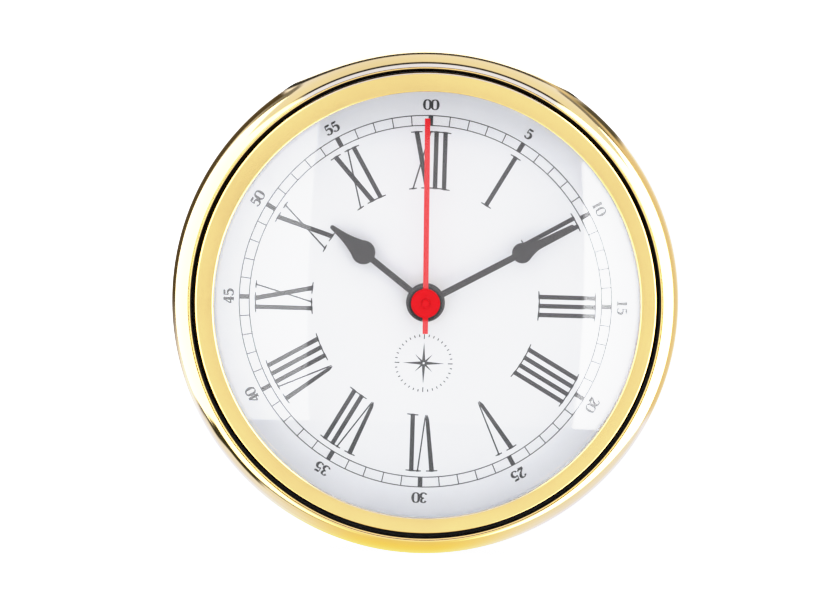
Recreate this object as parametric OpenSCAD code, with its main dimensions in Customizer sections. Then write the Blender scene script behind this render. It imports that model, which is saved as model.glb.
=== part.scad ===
// Brass bulkhead clock with a pull-out quartz insert.
// +Z is up, the dial faces -Y and the origin is the centre of the back face.

/* [Case] */
// Outside diameter where the case is widest
rim_diameter = 116; // [114:0.5:118]
// Height of the widest place above the back face
rim_widest = 17.5; // [17:0.1:20]
// How far the rounded front reaches in from the widest place
rim_swell = 5.2; // [5:0.1:5.2]
// Radius of the curve from the widest place to the back
back_curve = 48; // [46:1:60]
// Radius of the rounded back edge
back_round = 2.5; // [2:0.1:3]
// Bore behind the shoulder
lower_bore = 104.8; // [104.6:0.1:105]
// Bore in front of the shoulder
upper_bore = 106; // [105.8:0.1:106.2]
// Height of the shoulder between the two bores
shoulder = 19; // [18:0.5:19.4]
// Thickness of the back wall
back_wall = 1.6; // [1.4:0.1:1.8]
// Diameter of the access hole in the back wall
access_hole = 44; // [42:1:46]
// Pitch circle of the wall screws
screw_circle = 80; // [76:1:84]
// Diameter of the wall screw holes
screw_hole = 4.5; // [4:0.1:5]

/* [Insert] */
// Outside diameter of the flat bezel ring
bezel_diameter = 104.8; // [104.6:0.1:104.9]
// Opening inside the bezel lip
dial_opening = 96.4; // [96:0.1:97]
// Height of the bezel face above the back face
bezel_face = 33.1; // [32.9:0.1:33.3]
// Radius of curvature of the domed glass
glass_curve = 200; // [190:5:220]
// Thickness of the glass
glass_thickness = 1.8; // [1.6:0.1:2]
// Height of the top of the dome above the back face
dome_top = 38.2; // [38:0.1:38.5]
// Height of the dial face above the back face
dial_face = 22.3; // [22.2:0.1:22.4]
// Thickness of the dial plate
dial_thickness = 0.8; // [0.6:0.1:0.8]

/* [Dial print] */
// Outer radius of the minute track
track_outer = 42.4; // [42:0.1:43]
// Inner radius of the minute track
track_inner = 40.2; // [40:0.1:40.4]
// Inner radius of the hour numerals
numeral_inner = 25.7; // [25:0.1:26]
// Outer radius of the hour numerals
numeral_outer = 38.7; // [38:0.1:39]
// Width of a thick numeral stroke
thick_stroke = 1; // [0.9:0.05:1.2]
// Width of a thin numeral stroke
thin_stroke = 0.32; // [0.25:0.01:0.4]

/* [Movement] */
// Width and height of the movement housing
housing_size = 56; // [56:0.5:57]
// Diameter of the battery
battery_diameter = 14.2; // [13.8:0.1:14.4]
// Length of the battery without its nub
battery_length = 49; // [48:0.5:49.2]
// Distance from the centre to the third wheel's arbor
third_distance = 12.24; // [12.24]
// Distance from the centre to the motion wheel's arbor
motion_distance = 9; // [9]
// Distance from the centre to the intermediate wheel's arbor
intermediate_distance = 7.2; // [7.2]
// Distance from the intermediate arbor to the rotor's arbor
rotor_distance = 6.3; // [6.3]

/* [Hands] */
// Minute hand angle clockwise from twelve
minute_angle = 61; // [0:1:359]
// Hour hand angle clockwise from twelve
hour_angle = 307.3; // [0:0.1:359.9]
// Second hand angle clockwise from twelve
second_angle = -1.06; // [-180:0.01:180]
// Length of the minute hand
minute_length = 37.9; // [36:0.1:39]
// Length of the hour hand
hour_length = 27.6; // [26:0.1:29]
// Length of the second hand
second_length = 41.8; // [40:0.1:42]
// Diameter of the hour hand's boss
boss_diameter = 8.8; // [8:0.1:9]
// Diameter of the second hand's disc
disc_diameter = 6.6; // [6:0.1:7]

/* [Hidden] */
$fn = 96;
rim_radius = rim_diameter / 2;
swell_ring = rim_radius - rim_swell;
rim_rise = bezel_face - rim_widest;
back_drop = rim_widest - back_round;
back_reach = sqrt(pow(back_curve - back_round, 2) - pow(back_drop, 2));
back_tilt = atan2(back_drop, back_reach);
back_ring = rim_radius - back_curve + back_reach;
bore_low = lower_bore / 2;
bore_high = upper_bore / 2;
screw_ring = screw_circle / 2;
bezel_radius = bezel_diameter / 2;
lip_radius = dial_opening / 2;
serif_depth = 0.25;
ledge_drop = 0.5;
ledge_edge = bore_high + 0.8;
can_radius = 51.55;
can_inner = 50;
can_base = 4;
bay_floor = 19.8;
house_back = 5;
house_front = 21;
house_half = housing_size / 2;
cavity_half = house_half - 1.2;
bay_wall_low = -12.4;
bay_wall_high = -11.6;
cover_top = 6.2;
pivot = 0.4;
pivot_hole = 0.45;
bridge_low = 12.8;
bridge_high = 13.3;
dial_back = dial_face - dial_thickness;
glass_centre = dome_top - glass_curve;
glass_radius = 51;
seat_radius = 51.5;
battery_y = -19.75;
battery_z = 12.4;

third_angle = 135;
motion_angle = 60;
intermediate_angle = -30;
rotor_angle = -10;
third_at = third_distance * [cos(third_angle), sin(third_angle)];
motion_at = motion_distance * [cos(motion_angle), sin(motion_angle)];
intermediate_at = intermediate_distance * [cos(intermediate_angle), sin(intermediate_angle)];
rotor_at = intermediate_at + rotor_distance * [cos(rotor_angle), sin(rotor_angle)];
knob_at = motion_at + [9, 0];

m_fine = 0.3;
m_third = 0.36;
m_centre = 0.34;
m_motion = 0.375;

brass = [0.86, 0.68, 0.32];
steel = [0.72, 0.72, 0.74];
black = [0.08, 0.08, 0.09];
white = [0.93, 0.93, 0.95];
ivory = [0.88, 0.87, 0.83];
clear = [0.8, 0.9, 0.95, 0.35];
red = [0.85, 0.1, 0.12];
copper = [0.72, 0.36, 0.2];
green = [0.12, 0.4, 0.25];

// Points along an arc, without its first point
function arc(centre, radius, from, to, steps) = [
    for (i = [1 : steps])
    centre + radius * [cos(from + (to - from) * i / steps), sin(from + (to - from) * i / steps)]
];

// Angle of a gear's first tooth so that it meshes with a gear already placed
function mesh_phase(first, teeth_a, direction, teeth_b) =
    direction + 180 + 180 / teeth_b - (first - direction) * teeth_a / teeth_b;

// Turns a piece drawn face up so that it faces the viewer
module facing() {
    rotate([90, 0, 0])
    children();
}

// Flat ring between two heights
module ring(outer, inner, low, high) {
    difference() {
        translate([0, 0, low])
        cylinder(h = high - low, r = outer);
        translate([0, 0, low - 1])
        cylinder(h = high - low + 2, r = inner);
    }
}

// Solid round bar between two heights
module bar(radius, low, high) {
    translate([0, 0, low])
    cylinder(h = high - low, r = radius);
}

// Block given by its two corners
module block(a, b) {
    translate(a)
    cube(b - a);
}

// Spur gear blank with straight-sided teeth and running backlash
module spur(teeth, size, first, low, high) {
    pitch = teeth * size / 2;
    tip = pitch + 0.8 * size;
    root = pitch - 1.1 * size;
    step = 360 / teeth;
    corners = [[root, -0.27], [tip, -0.12], [tip, 0.12], [root, 0.27]];
    translate([0, 0, low])
    linear_extrude(high - low)
    polygon([
        for (i = [0 : teeth - 1])
        for (c = corners)
        c[0] * [cos(first + step * (i + c[1])), sin(first + step * (i + c[1]))]
    ]);
}

// Round windows that lighten a wheel
module windows(count, ring_radius, radius, low, high) {
    for (i = [0 : count - 1])
    rotate(i * 360 / count)
    translate([ring_radius, 0, low])
    cylinder(h = high - low, r = radius);
}

// Pan-head screw pointing forwards from its head
module screw(shank, low, high, head, head_height) {
    difference() {
        union() {
            bar(shank, low, high);
            bar(head, low - head_height, low);
        }
        block([-head, -0.2, low - head_height - 1], [head, 0.2, low - head_height * 0.5]);
    }
}

module case_shell() {
    color(brass)
    facing()
    rotate_extrude($fn = 192)
    difference() {
        polygon(concat(
            [[0, 0], [back_ring, 0]],
            arc([back_ring, back_round], back_round, -90, -back_tilt, 8),
            arc([rim_radius - back_curve, rim_widest], back_curve, -back_tilt, 0, 14),
            [
                for (i = [1 : 24])
                [swell_ring + rim_swell * cos(i * 3.75), rim_widest + rim_rise * sin(i * 3.75)]
            ],
            [[0, bezel_face]]
        ));
        translate([0, -1])
        square([bore_low, 60]);
        translate([0, shoulder])
        square([bore_high, 60]);
        translate([0, bezel_face - ledge_drop])
        square([ledge_edge, 60]);
    }
}

module back_plate() {
    color(brass)
    facing()
    difference() {
        ring(bore_low + 0.1, access_hole / 2, 0, back_wall);
        for (i = [0 : 2])
        rotate(90 + 120 * i)
        translate([screw_ring, 0, -1])
        cylinder(h = back_wall + 2, r = screw_hole / 2);
    }
}

module felt_ring() {
    color(black)
    facing()
    ring(49.5, 44.5, back_wall, back_wall + 0.8);
}

module bezel_ring() {
    color(brass)
    facing()
    rotate_extrude($fn = 192)
    polygon([
        [lip_radius, bezel_face - 0.75],
        [lip_radius, bezel_face - 0.25],
        [lip_radius + 0.15, bezel_face - 0.06],
        [lip_radius + 0.4, bezel_face],
        [bezel_radius - 0.4, bezel_face - 0.25],
        [bezel_radius - 0.12, bezel_face - 0.4],
        [bezel_radius, bezel_face - 0.7],
        [bezel_radius, shoulder + 0.4],
        [can_radius, shoulder + 0.4],
        [can_radius, bezel_face - 0.75]
    ]);
}

module glass() {
    color(clear)
    facing()
    intersection() {
        translate([0, 0, glass_centre])
        rotate_extrude($fn = 192)
        difference() {
            intersection() {
                circle(glass_curve, $fn = 720);
                square([60, glass_curve + 5]);
            }
            circle(glass_curve - glass_thickness, $fn = 720);
        }
        bar(glass_radius, dial_face, dome_top + 1);
    }
}

module glass_gasket() {
    color(black)
    facing()
    ring(seat_radius, glass_radius + 0.02, 29.6, bezel_face - 0.8);
}

module rehaut() {
    color(ivory)
    facing()
    rotate_extrude($fn = 192)
    polygon([
        [48.9, dial_face],
        [seat_radius, dial_face],
        [seat_radius, 29.4],
        [48.7, 30.1],
        [48.7, 29.6]
    ]);
}

module dial_plate() {
    color(white)
    facing()
    ring(51.4, 3.45, dial_back, dial_face);
}

// Slab serif centred on an offset, at the inner or the outer end
module serif(at, width, outer) {
    height = outer ? numeral_outer - serif_depth : numeral_inner;
    translate([at - width / 2, height])
    square([width, serif_depth]);
}

// Stroke between a lower and an upper offset
module stroke(width, low, high) {
    polygon([
        [low - width / 2, numeral_inner],
        [low + width / 2, numeral_inner],
        [high + width / 2, numeral_outer],
        [high - width / 2, numeral_outer]
    ]);
}

// One letter of a numeral: 1, 5 or 10
module letter(value) {
    if (value == 1) {
        stroke(thick_stroke, 0, 0);
        serif(0, 2.6, true);
        serif(0, 2.6, false);
    }
    if (value == 5) {
        stroke(thick_stroke, 0, -1.45);
        stroke(thin_stroke, 0.3, 1.8);
        serif(-1.45, 2.6, true);
        serif(1.8, 1.6, true);
    }
    if (value == 10) {
        stroke(thick_stroke, 1.35, -1.35);
        stroke(thin_stroke, -1.85, 1.85);
        serif(-1.35, 2.6, true);
        serif(1.85, 1.7, true);
        serif(1.35, 2.6, false);
        serif(-1.85, 1.7, false);
    }
}

// Letters of one hour numeral, each as value and sideways offset
module numeral(letters) {
    for (l = letters)
    translate([l[1], 0])
    letter(l[0]);
}

module dial_print() {
    hours = [
        [[10, -1.75], [1, 1.4], [1, 3.44]],
        [[1, 0.2]],
        [[1, -0.72], [1, 1.32]],
        [[1, -1.84], [1, 0.2], [1, 2.24]],
        [[1, -3.06], [1, -1.02], [1, 1.02], [1, 3.06]],
        [[5, 0]],
        [[5, -1.1], [1, 2.1]],
        [[5, -2], [1, 1.05], [1, 3.09]],
        [[5, -2.95], [1, 0.1], [1, 2.14], [1, 4.18]],
        [[1, -2.25], [10, 1.05]],
        [[10, 0.2]],
        [[10, -1], [1, 2.3]]
    ];
    color(black)
    facing()
    translate([0, 0, dial_face])
    linear_extrude(0.06) {
        for (r = [track_outer, track_inner])
        difference() {
            circle(r, $fn = 180);
            circle(r - 0.25, $fn = 180);
        }
        for (i = [0 : 59])
        rotate(6 * i)
        translate([i % 5 == 0 ? -0.52 : -0.11, track_inner - 0.15])
        square([i % 5 == 0 ? 1.04 : 0.22, track_outer - track_inner + 0.05]);
        for (i = [0 : 11])
        rotate(-30 * i)
        numeral(hours[i]);
    }
}

module insert_can() {
    opening = house_half + 0.5;
    color(black)
    facing()
    difference() {
        union() {
            bar(can_radius, can_base, dial_back);
            ring(bezel_radius - 0.3, can_radius - 1, shoulder - 2, shoulder + 0.35);
        }
        bar(can_inner, can_base + 1.5, dial_back - 1.2);
        bar(47, can_base + 1.5, dial_back + 1);
        block([-opening, -opening, can_base - 1], [opening, opening, can_base + 2]);
        ring(can_radius + 1, can_radius - 0.6, 9, 11);
        for (i = [0 : 2])
        rotate(30 + 120 * i)
        translate([48.5, 0, dial_back - 2])
        cylinder(h = 3, r = 0.8);
    }
}

module can_screws() {
    color(steel)
    facing()
    for (i = [0 : 2])
    rotate(30 + 120 * i)
    translate([48.5, 0, 0])
    screw(0.8, dial_back - 1.2, dial_back, 1.4, 0.9);
}

module grip_ring() {
    color(black)
    facing()
    rotate_extrude($fn = 192) {
        translate([can_radius - 0.6, 9])
        square([0.9, 2]);
        translate([can_radius + 0.3, 10])
        circle(0.49, $fn = 48);
    }
}

module dial_washer() {
    color(steel)
    facing()
    ring(4.3, 3.3, dial_face, dial_face + 0.3);
}

module hex_nut() {
    color(brass)
    facing()
    difference() {
        translate([0, 0, dial_face + 0.3])
        cylinder(h = 1.5, r = 4.3, $fn = 6);
        bar(3.3, dial_face, dial_face + 3);
    }
}

module centre_bush() {
    color(brass)
    facing()
    ring(3.3, 2.58, bay_floor, dial_face + 2.1);
}

module movement_seal() {
    color(black)
    facing()
    ring(8, 3.45, house_front, dial_back);
}

module housing() {
    color(black)
    facing()
    difference() {
        block([-house_half, -house_half, house_back], [house_half, house_half, house_front]);
        block([-cavity_half, bay_wall_high, house_back - 1], [cavity_half, cavity_half, bay_floor]);
        block([-cavity_half, 1 - house_half, house_back - 1], [cavity_half, bay_wall_low, bay_floor]);
        bar(3.3, bay_floor - 1, house_front + 1);
        for (at = [third_at, motion_at])
        translate([at[0], at[1], bay_floor - 1])
        cylinder(h = 1.8, r = pivot_hole, $fn = 32);
        translate([knob_at[0], knob_at[1], bay_floor - 1])
        cylinder(h = 1.8, r = pivot_hole, $fn = 32);
    }
}

module cover() {
    color(black)
    facing()
    difference() {
        block([-cavity_half, bay_wall_high, house_back], [cavity_half, cavity_half, cover_top]);
        for (at = [third_at, intermediate_at, rotor_at, [0, 0]])
        translate([at[0], at[1], house_back + 0.4])
        cylinder(h = 2, r = pivot_hole, $fn = 32);
        translate([knob_at[0], knob_at[1], house_back - 1])
        cylinder(h = 4, r = 1.05, $fn = 48);
        for (x = [-24, 24])
        for (y = [-8.5, 24])
        translate([x, y, house_back - 1])
        cylinder(h = 4, r = 0.9, $fn = 32);
    }
}

module cover_screws() {
    color(steel)
    facing()
    for (x = [-24, 24])
    for (y = [-8.5, 24])
    translate([x, y, 0])
    screw(0.9, house_back, cover_top + 3, 1.6, 0.8);
}

module bridge() {
    color(steel)
    facing()
    difference() {
        union() {
            block([-2.6, -11.4, bridge_low], [17, 2.6, bridge_high]);
            block([16, -11.4, bridge_low], [cavity_half, -0.4, bridge_high]);
        }
        bar(1.9, bridge_low - 1, bridge_high + 1);
        for (at = [intermediate_at, rotor_at])
        translate([at[0], at[1], bridge_low - 1])
        cylinder(h = 3, r = pivot_hole, $fn = 32);
    }
}

module stator() {
    color(steel)
    facing()
    difference() {
        union() {
            block([8.6, -8.6, 9.8], [22.6, -1.2, 10.6]);
            block([21.4, -8.6, 9.8], [22.6, 18, 10.6]);
            block([14, 16, 9.8], [22.6, 18, 10.6]);
        }
        translate([rotor_at[0], rotor_at[1], 9])
        cylinder(h = 3, r = 3.1, $fn = 48);
    }
}

module coil() {
    color(copper)
    facing()
    translate([22, 0, 10.2])
    rotate([-90, 0, 0])
    difference() {
        union() {
            translate([0, 0, 1.2])
            cylinder(h = 12.6, r = 3);
            translate([0, 0, 0.4])
            cylinder(h = 0.8, r = 3.6);
            translate([0, 0, 13.8])
            cylinder(h = 0.8, r = 3.6);
        }
        block([-0.65, -0.45, -1], [0.65, 0.45, 16]);
    }
}

module circuit_board() {
    color(green)
    facing()
    union() {
        block([-21.5, -11, 7.2], [-4, -2.6, 8]);
        translate([-18, -6.6, 8])
        cylinder(h = 1, r1 = 2.6, r2 = 1.8);
    }
}

module quartz_can() {
    color(steel)
    facing()
    translate([-13.6, -6.6, 9.45])
    rotate([0, 90, 0])
    union() {
        cylinder(h = 7, r = 1.4, $fn = 48);
        translate([0, 0, -0.4])
        cylinder(h = 0.4, r = 1.45, $fn = 48);
    }
}

module battery() {
    color(copper)
    facing()
    translate([-battery_length / 2, battery_y, battery_z])
    rotate([0, 90, 0])
    union() {
        translate([0, 0, 0.5])
        cylinder(h = battery_length - 1, r = battery_diameter / 2);
        cylinder(h = 0.5, r = battery_diameter / 2 - 1);
        translate([0, 0, battery_length - 0.5])
        cylinder(h = 1.7, r = 2.7);
    }
}

module contact_spring() {
    color(steel)
    facing()
    translate([0, battery_y, battery_z])
    union() {
        block([-26.8, -5, -5], [-26.4, 5, 5]);
        translate([-26.4, 0, 0])
        rotate([0, 90, 0])
        cylinder(h = 0.8, r1 = 4.5, r2 = 3.5);
        translate([-25.6, 0, 0])
        rotate([0, 90, 0])
        cylinder(h = 1.1, r1 = 2.6, r2 = 2);
    }
}

module contact_plate() {
    color(steel)
    facing()
    translate([0, battery_y, battery_z])
    union() {
        block([26.4, -5, -5], [26.8, 5, 5]);
        translate([25.7, 0, 0])
        rotate([0, 90, 0])
        cylinder(h = 0.7, r = 2.5);
    }
}

module rotor() {
    phase = mesh_phase(0, 36, rotor_angle, 6);
    color(steel)
    facing()
    translate([rotor_at[0], rotor_at[1], 0])
    union() {
        bar(pivot, house_back + 0.6, bridge_high - 0.1);
        bar(2.6, 9, 11.4);
        spur(6, m_fine, phase, 7.2, 8.6);
    }
}

module intermediate_wheel() {
    phase = mesh_phase(0, 40, intermediate_angle, 8);
    color(brass)
    facing()
    translate([intermediate_at[0], intermediate_at[1], 0])
    union() {
        bar(pivot, house_back + 0.6, bridge_high - 0.1);
        spur(36, m_fine, 0, 7.5, 8.2);
        spur(8, m_fine, phase, 8.2, 10.6);
    }
}

module second_wheel() {
    color(brass)
    facing()
    union() {
        bar(pivot, house_back + 0.6, 7);
        bar(0.5, 6.9, 30);
        difference() {
            spur(40, m_fine, 0, 9.4, 10.2);
            windows(4, 3.6, 1.1, 9, 11);
        }
        spur(8, m_third, 0, 10.2, 12.6);
    }
}

module second_hand() {
    color(red)
    facing()
    rotate(-second_angle)
    difference() {
        union() {
            bar(disc_diameter / 2, 28.3, 29.1);
            bar(1, 27.9, 30.2);
            block([-0.6, -6.9, 28.4], [0.6, second_length, 28.8]);
        }
        bar(0.5, 27, 31);
    }
}

module third_wheel() {
    phase = mesh_phase(0, 8, third_angle, 60);
    color(brass)
    facing()
    translate([third_at[0], third_at[1], 0])
    union() {
        bar(pivot, house_back + 0.6, 20.4);
        difference() {
            spur(60, m_third, phase, 11.6, 12.4);
            windows(5, 6, 2.2, 11, 13);
        }
        bar(1.2, 11, 13.8);
        spur(8, m_centre, 0, 13.8, 15.4);
    }
}

module centre_wheel() {
    phase = mesh_phase(0, 8, third_angle + 180, 64);
    color(brass)
    facing()
    difference() {
        union() {
            spur(64, m_centre, phase, 14.2, 15);
            bar(2.4, 13.6, 15.6);
        }
        bar(1.56, 13, 16);
        windows(5, 6, 2.2, 14, 16);
    }
}

module cannon_pinion() {
    color(steel)
    facing()
    difference() {
        union() {
            bar(1.5, 12.9, 27.6);
            spur(12, m_motion, 0, 16.1, 17.5);
        }
        bar(0.56, 12, 28);
    }
}

// Spade hand drawn towards twelve: boss, shaft, round bulb and tapered tip
module spade(length, bulb_at, bulb, shaft, tip, boss) {
    neck = bulb * 0.8;
    circle(boss);
    translate([-shaft / 2, 0])
    square([shaft, bulb_at]);
    translate([0, bulb_at])
    circle(bulb);
    polygon([
        [-neck, bulb_at + bulb * 0.6],
        [-shaft * 0.75, bulb_at + bulb * 1.75],
        [-tip, length - tip],
        [tip, length - tip],
        [shaft * 0.75, bulb_at + bulb * 1.75],
        [neck, bulb_at + bulb * 0.6]
    ]);
    translate([0, length - tip])
    circle(tip);
}

module minute_hand() {
    color(black)
    facing()
    rotate(-minute_angle)
    difference() {
        union() {
            translate([0, 0, 26.7])
            linear_extrude(0.4)
            spade(minute_length, 24.6, 2.3, 1.45, 0.55, 4);
            bar(2.6, 26.4, 27.5);
        }
        bar(1.5, 26, 28);
    }
}

module motion_wheel() {
    phase = mesh_phase(0, 12, motion_angle, 36);
    color(brass)
    facing()
    translate([motion_at[0], motion_at[1], 0])
    union() {
        bar(pivot, 15.6, 20.4);
        difference() {
            spur(36, m_motion, phase, 16.3, 17.1);
            windows(4, 4.2, 1.3, 16, 18);
        }
        spur(10, m_third, 0, 17.1, 19.3);
    }
}

module hour_wheel() {
    phase = mesh_phase(0, 10, motion_angle + 180, 40);
    color(ivory)
    facing()
    difference() {
        union() {
            bar(2.5, 17.9, 25.9);
            spur(40, m_third, phase, 18.2, 19);
        }
        bar(1.56, 17, 27);
    }
}

module hour_hand() {
    color(black)
    facing()
    rotate(-hour_angle)
    difference() {
        union() {
            translate([0, 0, 25])
            linear_extrude(0.4)
            spade(hour_length, 18.1, 2.7, 1.4, 0.45, boss_diameter / 2);
            bar(3.4, 24.8, 25.8);
        }
        bar(2.5, 24, 27);
    }
}

module setting_knob() {
    motion_phase = mesh_phase(0, 12, motion_angle, 36);
    phase = mesh_phase(motion_phase, 36, 0, 12);
    color(black)
    facing()
    translate([knob_at[0], knob_at[1], 0])
    union() {
        bar(pivot, 17, 20.4);
        bar(1, 4, 16);
        spur(12, m_motion, phase, 16, 17.4);
        difference() {
            bar(5, 2.2, 4.6);
            for (i = [0 : 15])
            rotate(22.5 * i)
            translate([5.2, 0, 1])
            cylinder(h = 5, r = 0.6, $fn = 24);
        }
    }
}

case_shell();
back_plate();
felt_ring();
bezel_ring();
glass();
glass_gasket();
rehaut();
dial_plate();
dial_print();
insert_can();
can_screws();
grip_ring();
dial_washer();
hex_nut();
centre_bush();
movement_seal();
housing();
cover();
cover_screws();
bridge();
stator();
coil();
circuit_board();
quartz_can();
battery();
contact_spring();
contact_plate();
rotor();
intermediate_wheel();
second_wheel();
second_hand();
third_wheel();
centre_wheel();
cannon_pinion();
minute_hand();
motion_wheel();
hour_wheel();
hour_hand();
setting_knob();
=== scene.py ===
"""Looks for the brass bulkhead clock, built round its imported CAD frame."""
import math

import bmesh
import bpy
from mathutils import Matrix, Vector


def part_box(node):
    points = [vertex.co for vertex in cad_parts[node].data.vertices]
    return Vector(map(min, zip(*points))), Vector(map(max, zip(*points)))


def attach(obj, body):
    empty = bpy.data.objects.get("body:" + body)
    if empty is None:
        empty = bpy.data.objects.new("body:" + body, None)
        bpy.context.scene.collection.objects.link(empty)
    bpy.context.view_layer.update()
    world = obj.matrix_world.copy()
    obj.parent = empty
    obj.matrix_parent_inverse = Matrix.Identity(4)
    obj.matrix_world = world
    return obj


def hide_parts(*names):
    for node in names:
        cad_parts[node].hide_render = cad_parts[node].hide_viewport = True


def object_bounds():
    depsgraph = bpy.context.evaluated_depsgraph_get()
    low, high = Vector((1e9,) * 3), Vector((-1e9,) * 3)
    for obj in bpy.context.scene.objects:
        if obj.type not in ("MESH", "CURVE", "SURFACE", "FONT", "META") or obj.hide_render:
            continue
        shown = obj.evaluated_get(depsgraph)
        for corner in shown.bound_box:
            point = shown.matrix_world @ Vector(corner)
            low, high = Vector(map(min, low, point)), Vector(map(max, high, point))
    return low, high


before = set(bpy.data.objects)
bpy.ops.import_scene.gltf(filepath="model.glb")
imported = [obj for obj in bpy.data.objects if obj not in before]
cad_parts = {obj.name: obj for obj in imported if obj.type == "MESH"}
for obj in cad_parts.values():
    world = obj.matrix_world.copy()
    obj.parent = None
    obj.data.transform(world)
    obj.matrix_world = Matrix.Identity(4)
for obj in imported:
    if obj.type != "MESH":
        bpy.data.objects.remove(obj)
CAD_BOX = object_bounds()
MM = 0.001
SCENE = bpy.context.scene


def extent(node):
    """Reach sideways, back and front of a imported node, in millimetres of the dial's frame."""
    low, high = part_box(node)
    return tuple(round(v / MM, 3) for v in (high[0], -high[1], -low[1]))


# Sizes in millimetres, in the dial's own frame: x right, y up, z towards the viewer.
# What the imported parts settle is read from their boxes.
RIM_RADIUS = extent("case_shell")[0]
PLATE_RADIUS, _, BACK_WALL = extent("back_plate")
BEZEL_WIDE, BEZEL_BACK, BEZEL_FACE = extent("bezel_ring")
GLASS_EDGE, _, DOME_TOP = extent("glass")
SEAT_RADIUS, _, REHAUT_TOP = extent("rehaut")
DIAL_RADIUS, DIAL_BACK, DIAL_FACE = extent("dial_plate")
TRACK_OUTER = extent("dial_print")[0]
HOUR_COLLAR = extent("hour_hand")[1:]
MINUTE_COLLAR = extent("minute_hand")[1:]

WIDEST = 17.5
SWELL = 5.2
BACK_CURVE = 48.0
BACK_ROUND = 2.5
LEDGE_DROP = 0.5
FRONT_EDGE = 0.45
BORE_LOW = PLATE_RADIUS - 0.1
BORE_HIGH = 53.0
SHOULDER = BEZEL_BACK - 0.4
ACCESS_RADIUS = 22.0
SCREW_RING = 40.0
SCREW_HOLE = 2.25
SINK = 0.5
BEZEL_RADIUS = BEZEL_WIDE - 0.28
LIP_RADIUS = 48.2
LIP_DEPTH = 0.75
SKIRT_BORE = 51.55
GLASS_CURVE = 200.0
GLASS_THICK = 1.8
PRINT = 0.03
LAYER = 0.001


# ---------------------------------------------------------------- mesh helpers
def to_row(x, y, z):
    """A point of the dial's frame in millimetres, in the row frame in metres."""
    return (x * MM, -z * MM, y * MM)


def build(name, verts, faces, material, sharp=30.0):
    """A smooth-shaded mesh object from points in the dial's frame."""
    mesh = bpy.data.meshes.new(name)
    mesh.from_pydata([to_row(*v) for v in verts], [], faces)
    bm = bmesh.new()
    bm.from_mesh(mesh)
    bmesh.ops.remove_doubles(bm, verts=bm.verts, dist=1e-7)
    bmesh.ops.recalc_face_normals(bm, faces=bm.faces)
    bm.to_mesh(mesh)
    bm.free()
    for poly in mesh.polygons:
        poly.use_smooth = True
    mesh.set_sharp_from_angle(angle=math.radians(sharp))
    mesh.materials.append(material)
    obj = bpy.data.objects.new(name, mesh)
    SCENE.collection.objects.link(obj)
    return obj


def rounded(corners, steps=6):
    """A closed outline with each (x, y, radius) corner replaced by an arc."""
    out = []
    count = len(corners)
    for i, (x, y, radius) in enumerate(corners):
        here = Vector((x, y))
        if radius <= 0:
            out.append((x, y))
            continue
        back = Vector(corners[i - 1][:2]) - here
        ahead = Vector(corners[(i + 1) % count][:2]) - here
        angle = back.angle(ahead)
        cut = min(radius / math.tan(angle / 2), back.length * 0.49, ahead.length * 0.49)
        radius = cut * math.tan(angle / 2)
        start = here + back.normalized() * cut
        end = here + ahead.normalized() * cut
        centre = here + (back.normalized() + ahead.normalized()).normalized() * (radius / math.sin(angle / 2))
        a = start - centre
        b = end - centre
        sweep = a.angle_signed(b) if a.length * b.length > 0 else 0
        for k in range(steps + 1):
            turned = Matrix.Rotation(-sweep * k / steps, 2) @ a
            out.append(tuple(centre + turned))
    return out


def even_shading(obj):
    """Keeps wide flat faces flat in the highlights."""
    even = obj.modifiers.new("even_shading", "WEIGHTED_NORMAL")
    even.keep_sharp = True


def lathe(name, outline, material, segments=360, sharp=30.0):
    """A closed (radius, height) outline turned round the dial's axis."""
    verts = []
    faces = []
    count = len(outline)
    for s in range(segments):
        a = 2 * math.pi * s / segments
        for r, z in outline:
            verts.append((r * math.sin(a), r * math.cos(a), z))
    for s in range(segments):
        t = (s + 1) % segments
        for i in range(count):
            j = (i + 1) % count
            faces.append((s * count + i, s * count + j, t * count + j, t * count + i))
    obj = build(name, verts, faces, material, sharp)
    even_shading(obj)
    return obj


def ribbon(verts, faces, path, widths, low, high, closed=False):
    """Adds a flat ribbon with square sides that follows a path with a changing width."""
    count = len(path)
    base = len(verts)
    for i, (x, y) in enumerate(path):
        before = path[i - 1] if i or closed else path[0]
        after = path[(i + 1) % count] if i < count - 1 or closed else path[-1]
        along = Vector((after[0] - before[0], after[1] - before[1])).normalized()
        side = Vector((-along.y, along.x)) * (widths[i] / 2)
        for sx in (1, -1):
            for z in (low, high):
                verts.append((x + side.x * sx, y + side.y * sx, z))
    last = count if closed else count - 1
    for i in range(last):
        a = base + 4 * i
        b = base + 4 * ((i + 1) % count)
        faces.append((a + 1, a + 3, b + 3, b + 1))
        faces.append((a, b, b + 2, a + 2))
        faces.append((a, a + 1, b + 1, b))
        faces.append((a + 2, b + 2, b + 3, a + 3))
    if not closed:
        end = base + 4 * (count - 1)
        faces.append((base, base + 2, base + 3, base + 1))
        faces.append((end, end + 1, end + 3, end + 2))


def smooth_path(points, per=6):
    """Catmull-Rom points through (x, y, width) keys."""
    out = []
    last = len(points) - 1
    for i in range(last):
        p = [points[max(0, i - 1)], points[i], points[i + 1], points[min(last, i + 2)]]
        for k in range(per):
            t = k / per
            out.append(tuple(
                0.5 * (2 * b + (c - a) * t + (2 * a - 5 * b + 4 * c - d) * t * t
                       + (3 * b - a - 3 * c + d) * t ** 3)
                for a, b, c, d in zip(*p)))
    out.append(tuple(points[-1]))
    return out


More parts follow.
